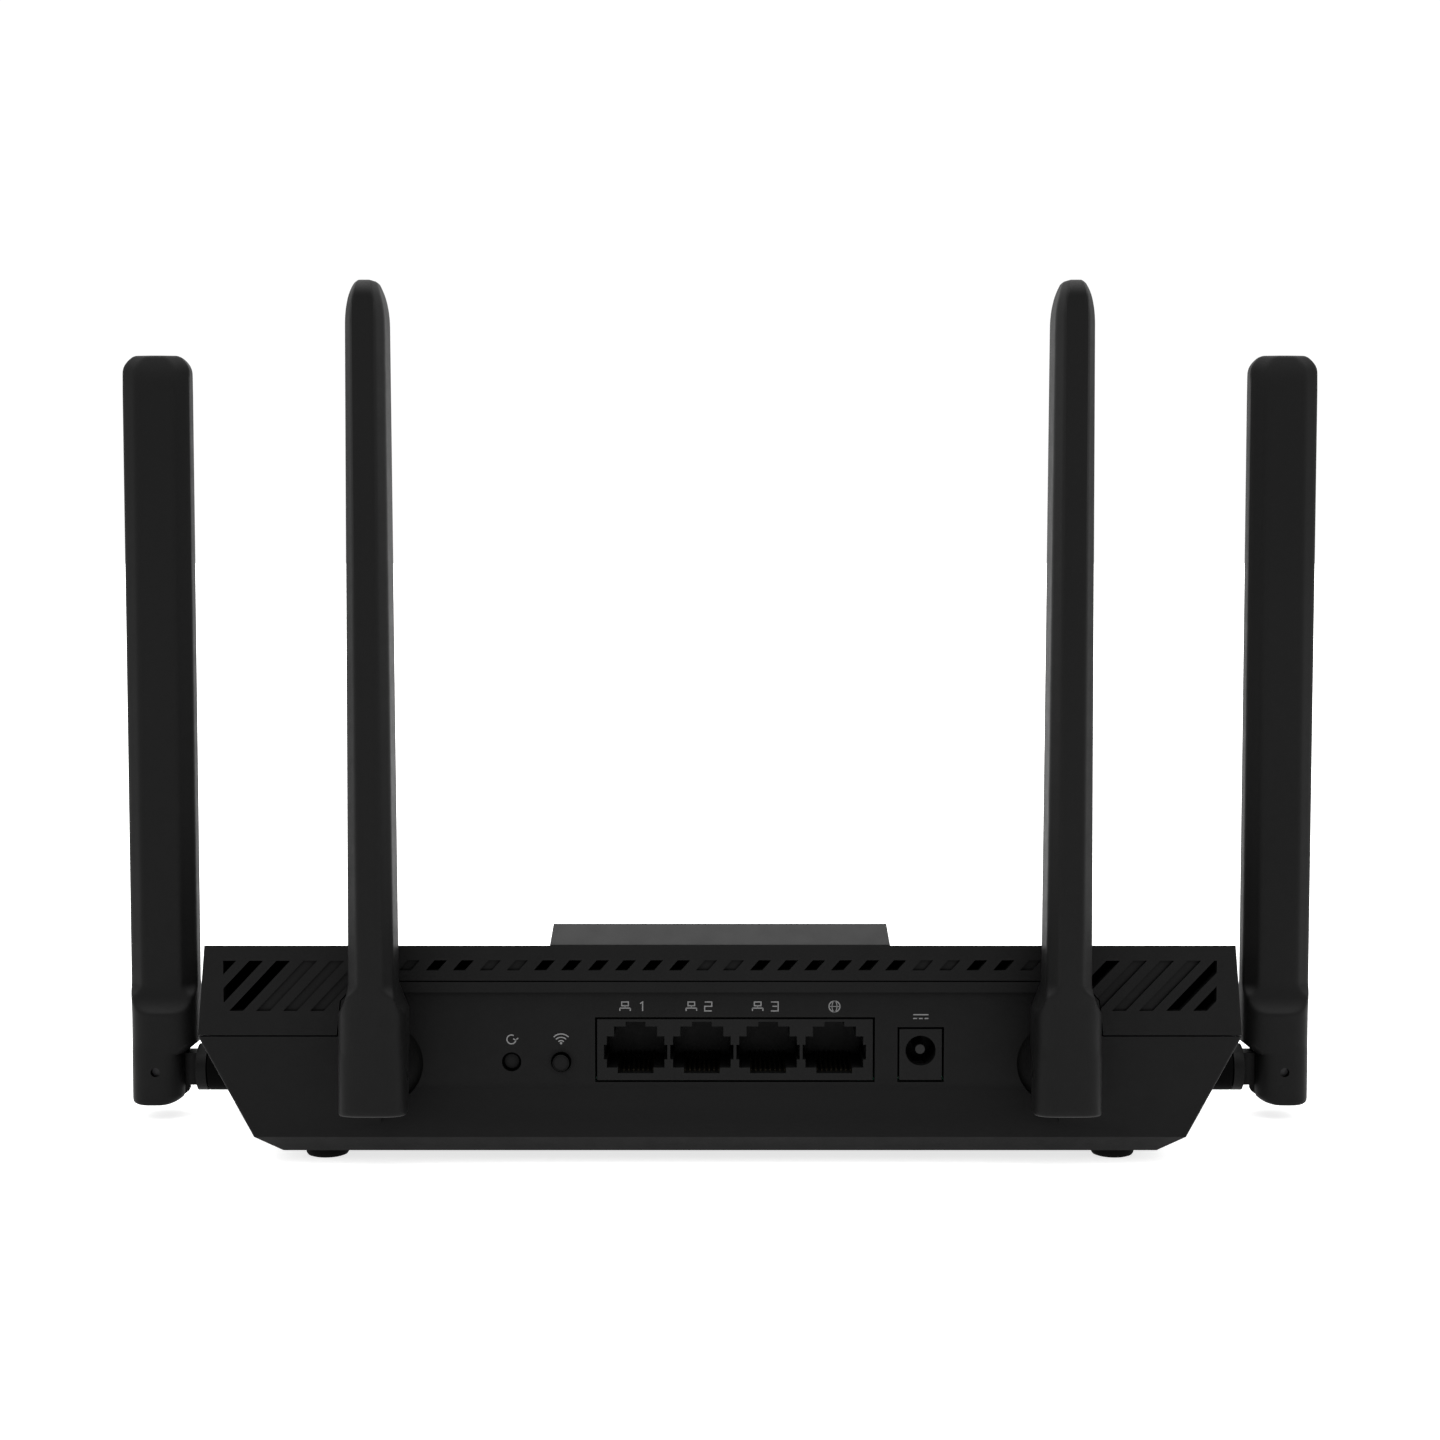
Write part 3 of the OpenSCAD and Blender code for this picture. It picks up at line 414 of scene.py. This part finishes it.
def rounded_shell(node, name, wide, narrow, rim_z):
    """A copy of a CAD shell with its outer edges rounded.

    The edges between the port side and the two ends are rounded by wide and the others by
    narrow. Faces that look along rim_z meet the other shell, so their edges stay sharp.
    """
    shape = bmesh.new()
    shape.from_mesh(nodes[node].data)
    bmesh.ops.remove_doubles(shape, verts=shape.verts, dist=MERGE_WITHIN)
    bmesh.ops.dissolve_limit(shape, angle_limit=math.radians(COPLANAR_ANGLE),
                             verts=shape.verts, edges=shape.edges)
    # A new layer makes earlier references to edges stale, so it comes before they are chosen.
    weight = shape.edges.layers.float.new("bevel_weight_edge")
    corners = [v.co.copy() for v in shape.verts]

    def outer(face):
        """Whether no corner of the shell lies beyond the face's plane."""
        n = face.normal
        if n.z * rim_z > 0.9:
            return False
        level = n.dot(face.verts[0].co)
        return max(n.dot(c) for c in corners) < level + OUTSIDE_SLACK

    outside = {face.index: outer(face) for face in shape.faces}
    chosen = [
        e for e in shape.edges
        if len(e.link_faces) == 2 and e.is_convex
        and e.calc_face_angle(0) > math.radians(ROUNDED_ANGLE)
        and all(outside[f.index] for f in e.link_faces)
    ]
    for edge in chosen:
        ends = [f.normal for f in edge.link_faces]
        at_end = max(n.y for n in ends) > 0.8 and max(abs(n.x) for n in ends) > 0.4
        edge[weight] = 1.0 if at_end else narrow / wide
    smooth_by_angle(shape, SHELL_SMOOTH_ANGLE)
    piece = new_piece(name, shape, looks["shell"], "case")
    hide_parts(node)
    round_edges(piece, wide, segments=3).limit_method = "WEIGHT"
    even_normals(piece)


rounded_shell("top_cover", "top_shell", 0.0011, 0.00025, rim_z=-1)
rounded_shell("bottom_case", "bottom_shell", 0.0011, 0.0003, rim_z=1)

# ---------------------------------------------------------------- antennas
# In millimetres about the pin: Z runs up the antenna and +Y outward from the case. Widths
# across the antenna and the base's thickness are halves, from its middle.

ANTENNA_LEN = 161.8  # pin to tip
BASE_BELOW = 7.7  # pin to lowest face
BASE_THICK = 6.35
BASE_WIDE = 7.0
BASE_ROUND = 3.4  # power of the base's outline: 2 is an ellipse, and more is squarer
BASE_TRIM = 0.28  # how far the base's outer face stands in
BASE_INNER_TRIM = 0.3
HEEL_R = 8.4
HEEL_TOP = -5.5
STEP_LOW, STEP_HIGH = 3.9, 6.2  # the inner face steps from the base to the blade
BLADE_INNER = 8.9  # pin to inner face
BLADE_OUTER_TRIM = 0.1
BLADE_WIDE_LOW, BLADE_WIDE_TOP = 4.7, 4.0
TAPER_FROM = 18.5
SCOOP_LOW, SCOOP_HIGH = 13.4, 20.5  # the base narrows to the blade
SCOOP_POWER = 2.8
BEVEL_LOW, BEVEL_HIGH = SCOOP_LOW - 1, 20  # the blade's bevels come in
BEVEL_FLAT = 2.3  # half width of the flat between two bevels
BEVEL_DEPTH = 3.2
TIP_LEN, TIP_THINNING = 9, 0.46
TIP_TRIM_LEN, TIP_TRIM = 4, 2.6
TIP_EDGE_R, FOOT_EDGE_R, HEEL_EDGE_R = 0.5, 0.6, 1.4
SECTION_POINTS = 112
SECTION_CRISP = 40  # how sharply the faces of a section meet
PIN_HOLE_R = 1.05
SLOT_HALF, SLOT_REACH = 3.0, 4.05  # the slot in the base that takes the knuckle's tongue
ANTENNA_SMOOTH_ANGLE = 28


def ease(value, low, high):
    share = min(1.0, max(0.0, (value - low) / (high - low)))
    return share * share * (3 - 2 * share)


def mix(a, b, share):
    return a + (b - a) * share


def rounded_in(distance, radius):
    """How far a rounded corner stands in, at a distance from the end that it rounds."""
    share = min(1.0, max(0.0, radius - distance) / radius)
    return radius * (1 - math.sqrt(1 - share ** 2))


def antenna_level(z):
    """Measures of the cross-section at a height above the pin."""
    below_tip = ANTENNA_LEN - z
    above_foot = z + BASE_BELOW
    up = ease(z, BEVEL_LOW, BEVEL_HIGH)
    taper = max(0.0, (z - TAPER_FROM) / (ANTENNA_LEN - TAPER_FROM))
    blade = mix(BLADE_WIDE_LOW, BLADE_WIDE_TOP, taper)
    thin = 1 - TIP_THINNING * max(0.0, 1 - below_tip / TIP_LEN) ** 2.2
    trim = TIP_TRIM * max(0.0, 1 - below_tip / TIP_TRIM_LEN) ** 2.3
    ramp = max(0.0, (SCOOP_HIGH - z) / (SCOOP_HIGH - SCOOP_LOW))
    inner = -BLADE_INNER + trim
    if z < STEP_HIGH:
        step = max(0.0, (z - STEP_LOW) / (STEP_HIGH - STEP_LOW))
        inner = -mix(BASE_THICK - BASE_INNER_TRIM, BLADE_INNER, step)
    if z < HEEL_TOP:
        inner = -min(BASE_THICK - BASE_INNER_TRIM, math.sqrt(HEEL_R ** 2 - z ** 2))
    outer = BASE_THICK - mix(BASE_TRIM, BLADE_OUTER_TRIM, up) - trim
    outer -= rounded_in(above_foot, HEEL_EDGE_R)
    edge = rounded_in(below_tip, TIP_EDGE_R) + rounded_in(above_foot, FOOT_EDGE_R)
    past_base = BASE_WIDE + 2  # keeps the bevels clear of the base
    return {
        "scooped": (blade + (BASE_WIDE - BLADE_WIDE_LOW) * ramp ** SCOOP_POWER) * thin - edge,
        "rounded": BASE_WIDE * thin - edge,
        "flat": max(0.4, mix(past_base, BEVEL_FLAT, up) * thin - edge * 0.5),
        "side": mix(past_base, blade, up) * thin - edge,
        "outer": outer - edge,
        "inner": inner + edge,
    }


def section(level):
    """Outline of a cross-section as points of (across, outward).

    It is a rounded base, trimmed by the two scooped faces and, higher up, by the four bevels.
    """
    middle = (level["outer"] + level["inner"]) / 2
    half = (level["outer"] - level["inner"]) / 2
    run = level["side"] - level["flat"]
    slope = math.hypot(run, BEVEL_DEPTH)
    nx, nu = BEVEL_DEPTH / slope, run / slope
    reach = nx * level["flat"] + nu * half
    points = []
    for k in range(SECTION_POINTS):
        angle = 2 * math.pi * k / SECTION_POINTS
        x, u = math.cos(angle), math.sin(angle)
        across, outward = abs(x) / level["rounded"], abs(u) / half
        faces = (
            (across ** BASE_ROUND + outward ** BASE_ROUND) ** (1 / BASE_ROUND),
            abs(x) / level["scooped"],
            (nx * abs(x) + nu * abs(u)) / reach,
        )
        r = sum(face ** SECTION_CRISP for face in faces) ** (-1 / SECTION_CRISP)
        points.append((r * x, middle + r * u))
    return points


def antenna_heights():
    """Heights of the sections, closest where the shape turns fastest."""
    heights = [-BASE_BELOW + 0.9 * (1 - math.cos(math.radians(a))) for a in range(0, 91, 18)]
    heights += [-6.2, HEEL_TOP, -3, 0, STEP_LOW, 4.6, 5.4, STEP_HIGH, 8, 10, 11.5]
    heights += [12.4 + 0.25 * k for k in range(34)]
    heights += [21.5, 24, 30, 40, 55, 75, 95, 115, 130, 140, 148, 152]
    near_tip = [9, 8, 7, 6, 5.2, 4.4, 3.6, 2.9, 2.3, 1.8, 1.35, 1.0,
                0.7, 0.5, 0.35, 0.22, 0.12, 0.04, 0]
    heights += [ANTENNA_LEN - depth for depth in near_tip]
    return sorted(set(heights))


def block(low, high):
    shape = bmesh.new()
    made = bmesh.ops.create_cube(shape, size=1)
    size = [b - a for a, b in zip(low, high)]
    centre = [(a + b) / 2 for a, b in zip(low, high)]
    fit = Matrix.Translation(centre) @ Matrix.Diagonal((*size, 1))
    bmesh.ops.transform(shape, matrix=fit, verts=made["verts"])
    return shape


def rod(start, end, radius, sides=48):
    shape = bmesh.new()
    a, b = Vector(start), Vector(end)
    turn = (b - a).to_track_quat("Z", "Y").to_matrix().to_4x4()
    bmesh.ops.create_cone(shape, cap_ends=True, segments=sides, radius1=radius, radius2=radius,
                          depth=(b - a).length, matrix=Matrix.Translation((a + b) / 2) @ turn)
    return shape


def carve(shape, cutters):
    """The shape with each cutter taken out of it."""
    carved = as_object("carve_body", shape)
    tools = [as_object("cutter", cutter) for cutter in cutters]
    for tool in tools:
        cut = carved.modifiers.new("cut", "BOOLEAN")
        cut.operation = "DIFFERENCE"
        cut.solver = "EXACT"
        cut.object = tool
    done = bmesh.new()
    evaluated = carved.evaluated_get(bpy.context.evaluated_depsgraph_get())
    done.from_mesh(evaluated.to_mesh())
    evaluated.to_mesh_clear()
    for thing in [carved, *tools]:
        bpy.data.objects.remove(thing)
    return done


def antenna_shape():
    """One antenna about its pin, in metres."""
    shape = bmesh.new()
    rings = []
    for z in antenna_heights():
        outline = section(antenna_level(z))
        rings.append([shape.verts.new((x * MM, u * MM, z * MM)) for x, u in outline])
    for low, high in zip(rings, rings[1:]):
        for k in range(len(low)):
            j = (k + 1) % len(low)
            shape.faces.new((low[k], low[j], high[j], high[k]))
    shape.faces.new(list(reversed(rings[0])))
    shape.faces.new(rings[-1])
    half, reach = SLOT_HALF * MM, SLOT_REACH * MM
    shape = carve(shape, [
        block((-half, -0.03, -0.03), (half, reach, reach)),
        rod((-0.02, 0, 0), (0.02, 0, 0), PIN_HOLE_R * MM),
    ])
    smooth_by_angle(shape, ANTENNA_SMOOTH_ANGLE)
    return shape


antenna_master = antenna_shape()
for name in antenna_names:
    pin_low, pin_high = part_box(name + "_pin")
    middle = (pin_low + pin_high) / 2
    turn = 0
    if name.startswith("side"):
        turn = -90 if middle.x > 0 else 90
    shape = antenna_master.copy()
    onto_pin = Matrix.Translation(middle) @ Matrix.Rotation(math.radians(turn), 4, "Z")
    bmesh.ops.transform(shape, matrix=onto_pin, verts=shape.verts)
    piece = new_piece(name + "_sleeve", shape, looks["antenna"], name + "_blade")
    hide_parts(name + "_antenna")
    even_normals(piece)
antenna_master.free()

# ---------------------------------------------------------------- marks on the port panel
# Drawn in millimetres, x across and z up, about the middle of each mark.

STROKE = 0.24
FINE_STROKE = 0.16
INK_PROUD = 0.00004
MITRE_LIMIT = 0.3
SOCKET_MARK_UP = 15.7 * MM  # heights above the board's top
INLET_MARK_UP = 13.5 * MM
BUTTON_MARK_UP = 8.7 * MM
GLOBE_R = 1.15


def stroke(shape, points, width=STROKE, closed=False):
    """A flat line of even width along the points, standing just proud of its ground at y = 0."""
    count = len(points)
    sides = []
    for k in range(count):
        here = Vector(points[k])
        before = Vector(points[k - 1]) if closed or k else None
        after = Vector(points[(k + 1) % count]) if closed or k < count - 1 else None
        into = (here - before).normalized() if before is not None else (after - here).normalized()
        out = (after - here).normalized() if after is not None else into
        normal = Vector((-into.y, into.x)) + Vector((-out.y, out.x))
        normal /= max(MITRE_LIMIT, normal.length_squared) / 2
        half = normal * width / 2
        sides.append([here + half, here - half])
    rows = []
    for left, right in sides:
        corners = ((left, 0), (right, 0), (right, INK_PROUD), (left, INK_PROUD))
        rows.append([shape.verts.new((p.x * MM, y, p.y * MM)) for p, y in corners])
    spans = list(zip(rows, rows[1:])) + ([(rows[-1], rows[0])] if closed else [])
    for a, b in spans:
        for k in range(4):
            j = (k + 1) % 4
            shape.faces.new((a[k], a[j], b[j], b[k]))
    if not closed:
        shape.faces.new(list(reversed(rows[0])))
        shape.faces.new(rows[-1])


def arc(cx, cz, r, start, end, steps=20):
    turns = [math.radians(start + (end - start) * k / steps) for k in range(steps + 1)]
    return [(cx + r * math.cos(turn), cz + r * math.sin(turn)) for turn in turns]


def circle(cx, cz, r, steps=28):
    return arc(cx, cz, r, 0, 360, steps)[:-1]


# Squared numerals on a box one wide and one high
numerals = {
    1: [[(0.25, 0.82), (0.6, 1), (0.6, 0)]],
    2: [[(0, 1), (1, 1), (1, 0.52), (0, 0.52), (0, 0), (1, 0)]],
    3: [[(0, 1), (1, 1), (1, 0), (0, 0)], [(0.2, 0.52), (1, 0.52)]],
}


def numeral(shape, number, x, z, width=1.5, height=1.9):
    for line in numerals[number]:
        stroke(shape, [(x + px * width, z + pz * height) for px, pz in line])


def ink_piece(name, x, z, draw):
    """Seen from behind the case, so the drawing's own x runs towards -X."""
    shape = bmesh.new()
    draw(shape)
    onto_panel = Matrix.Translation((x, panel_y, z)) @ Matrix.Diagonal((-1, 1, 1, 1))
    bmesh.ops.transform(shape, matrix=onto_panel, verts=shape.verts)
    bmesh.ops.recalc_face_normals(shape, faces=shape.faces)
    new_piece(name, shape, print_ink, "case")


def draw_network(number):
    """A small screen on two legs with a numeral beside it."""
    def draw(shape):
        stroke(shape, [(-2.9, 0.15), (-2.9, 0.95), (-1.5, 0.95), (-1.5, 0.15)], closed=True)
        stroke(shape, [(-2.2, 0.15), (-2.2, -0.35)])
        stroke(shape, [(-3.3, -0.35), (-1.1, -0.35)])
        stroke(shape, [(-3.3, -0.35), (-3.3, -0.95)])
        stroke(shape, [(-1.1, -0.35), (-1.1, -0.95)])
        numeral(shape, number, 0.6, -0.95)
    return draw


def draw_globe(shape):
    rim = circle(0, 0, GLOBE_R)
    stroke(shape, rim, closed=True)
    stroke(shape, [(x * 0.45, z) for x, z in rim], FINE_STROKE, closed=True)
    stroke(shape, [(-GLOBE_R, 0), (GLOBE_R, 0)], FINE_STROKE)


def draw_direct_current(shape):
    stroke(shape, [(-1.6, 0.45), (1.6, 0.45)])
    for k in (-1, 0, 1):
        stroke(shape, [(k * 1.2 - 0.4, -0.35), (k * 1.2 + 0.4, -0.35)])


def draw_restart(shape):
    stroke(shape, arc(0, 0, 0.95, 60, 360))
    stroke(shape, [(0.35, 0.12), (0.95, -0.12), (1.45, 0.3)])


def draw_waves(shape):
    stroke(shape, circle(0, -0.8, 0.16, steps=10), 0.2, closed=True)
    for r in (0.8, 1.5, 2.2):
        stroke(shape, arc(0, -1.05, r, 45, 135))


def middle_x(ends):
    return (ends[0][0] + ends[1][0]) / 2


openings = frame["record"]["physics"]["openings"]
socket_boxes = [o["box_m"] for o in openings if o["name"].startswith("network_socket")]
socket_marks = [draw_network(1), draw_network(2), draw_network(3), draw_globe]
for k, (ends, draw) in enumerate(zip(socket_boxes, socket_marks)):
    ink_piece(f"mark_socket_{k + 1}", middle_x(ends), board_top + SOCKET_MARK_UP, draw)
ink_piece("mark_inlet", middle_x(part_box("dc_inlet")), board_top + INLET_MARK_UP,
          draw_direct_current)
for name, draw in (("reset", draw_restart), ("wps", draw_waves)):
    ink_piece("mark_" + name, middle_x(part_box(name + "_button")), board_top + BUTTON_MARK_UP, draw)

# ---------------------------------------------------------------- floor, backdrop and light

FLOOR_HALF = 60
FLOOR_GLOW = 0.75


def pale_ground():
    """A matt pale ground that glows, so that it meets the white surround."""
    made, tree, shader, place = blank("pale_ground")
    feed(tree, shader, {
        "Base Color": blend_colour(tree, noise(tree, place, 3, 2), grey(0.5), grey(0.53)),
        "Roughness": 0.9,
        "Specular IOR Level": 0.1,
        "Emission Color": grey(1),
        "Emission Strength": FLOOR_GLOW,
    })
    return made


ground = bmesh.new()
bmesh.ops.create_grid(ground, x_segments=8, y_segments=8, size=FLOOR_HALF)
floor = as_object("floor", ground)
floor.data.materials.append(pale_ground())


def studio_sky(horizon, sides, dim, zenith):
    """A white surround, brightest overhead, brighter at both sides and dimmer towards +Y."""
    sky = bpy.data.worlds.new("studio")
    sky.use_nodes = True
    tree = sky.node_tree
    direction = tree.nodes.new("ShaderNodeTexCoord").outputs["Generated"]
    toward = add(tree, "ShaderNodeSeparateXYZ", {"Vector": direction}).outputs

    def lobe(operation, axis, power, gain):
        """Light that grows along an axis."""
        facing = calculate(tree, operation, toward[axis], 0.0)
        return calculate(tree, "MULTIPLY", calculate(tree, "POWER", facing, power), gain)

    strength = calculate(tree, "ADD", lobe("ABSOLUTE", "X", 2.0, sides), horizon)
    strength = calculate(tree, "SUBTRACT", strength, lobe("MAXIMUM", "Y", 2.0, dim))
    strength = calculate(tree, "ADD", strength, lobe("MAXIMUM", "Z", 4.0, zenith))
    feed(tree, tree.nodes["Background"], {"Color": grey(1), "Strength": strength})
    bpy.context.scene.world = sky


studio_sky(horizon=1.02, sides=0.45, dim=0.42, zenith=5.0)

bpy.context.scene.view_settings.view_transform = "Standard"
